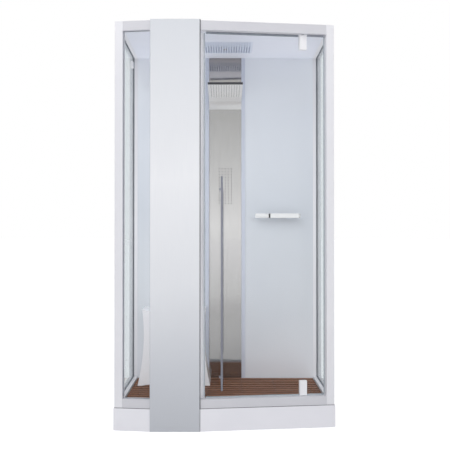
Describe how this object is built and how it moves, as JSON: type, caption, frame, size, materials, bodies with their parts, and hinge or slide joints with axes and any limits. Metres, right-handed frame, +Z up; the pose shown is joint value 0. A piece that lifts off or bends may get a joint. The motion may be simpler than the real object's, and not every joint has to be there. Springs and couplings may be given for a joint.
{
  "type": "shower cabin",
  "caption": "Framed glass shower cabin with a sloped front, a pivot door with a long bar handle, a front column, a steel rear shower column, a slatted deck and a stool.",
  "frame": {"origin": "on the floor, at the middle of the bounding box", "axes": "+Z up, front with the column and the door towards -Y, +X to the right seen from the front"},
  "size_m": [1.2, 0.8, 2.205],
  "materials": {
    "frame_white": "satin powder coat",
    "base_white": "smooth acrylic",
    "column_satin": "fine satin",
    "clear_glass": "clear, polished edge",
    "wall_panel": "smooth pale blue white",
    "ceiling_white": "smooth",
    "mirror_steel": "polished",
    "steel": "brushed",
    "chrome": "polished",
    "seal_rubber": "translucent soft",
    "teak": "weathered, oiled",
    "black_plastic": "moulded",
    "grey_plastic": "moulded",
    "white_plastic": "moulded",
    "brass": "plain"
  },
  "bodies": {
    "cabin": {"shower_tray": "base_white", "front_skirts": "base_white", "side_skirts": "base_white", "levelling_feet": "grey_plastic", "drain_trap": "grey_plastic", "drain_cover": "chrome", "waste_pipe": "white_plastic", "deck_bearers": "teak", "deck_slats": "teak", "front_posts": "frame_white", "rear_posts": "frame_white", "sill_front_left": "frame_white", "sill_front_right": "frame_white", "side_sills": "frame_white", "sill_rear": "frame_white", "header_front_left": "frame_white", "header_front_right": "frame_white", "side_headers": "frame_white", "header_rear": "frame_white", "rear_mullions": "frame_white", "ceiling_panel": "ceiling_white", "rain_head": "steel", "rain_water_box": "white_plastic", "column_panel": "column_satin", "column_posts": "column_satin", "column_header": "frame_white", "column_housing": "frame_white", "strike_jamb": "frame_white", "steam_generator": "steel", "steam_outlet": "chrome", "control_unit": "black_plastic", "front_left_glass": "clear_glass", "left_glass": "clear_glass", "right_glass": "clear_glass", "glazing_gaskets": "seal_rubber", "pane_clip": "white_plastic", "rear_wall_left": "wall_panel", "rear_wall_right": "wall_panel", "column_trims": "wall_panel", "steel_column": "mirror_steel", "rear_access_cover": "frame_white", "overhead_shower": "mirror_steel", "nozzle_plate": "steel", "body_jets": "grey_plastic", "water_pipes": "brass", "pipe_fittings": "brass", "inlet_unions": "chrome", "mixer_body": "chrome", "mixer_sleeve": "black_plastic", "pivot_bushes": "brass", "door_stops": "seal_rubber"},
    "door": {"door_glass": "clear_glass", "door_hinges": "frame_white", "pivot_pins": "steel", "door_handle": "chrome", "handle_fixings": "chrome", "door_seals": "seal_rubber"},
    "stool": {"stool": "white_plastic"},
    "flow_handle": {"flow_handle": "chrome"},
    "temperature_knob": {"temperature_knob": "chrome"}
  },
  "joints": [
    {"name": "door_swing", "type": "hinge", "parent": "cabin", "child": "door", "pos_m": [0.42514, -0.26957, 1.16], "axis": [0, 0, 1], "range_deg": [0, 90]},
    {"name": "stool_lift", "type": "slide", "parent": "cabin", "child": "stool", "axis": [0, 0, 1], "range_m": [0, 0.3]},
    {"name": "flow_turn", "type": "hinge", "parent": "cabin", "child": "flow_handle", "pos_m": [0.225, 0.296, 1.167], "axis": [1, 0, 0], "range_deg": [-90, 90]},
    {"name": "temperature_turn", "type": "hinge", "parent": "cabin", "child": "temperature_knob", "pos_m": [0.457, 0.296, 1.167], "axis": [1, 0, 0], "range_deg": [-120, 120]}
  ]
}
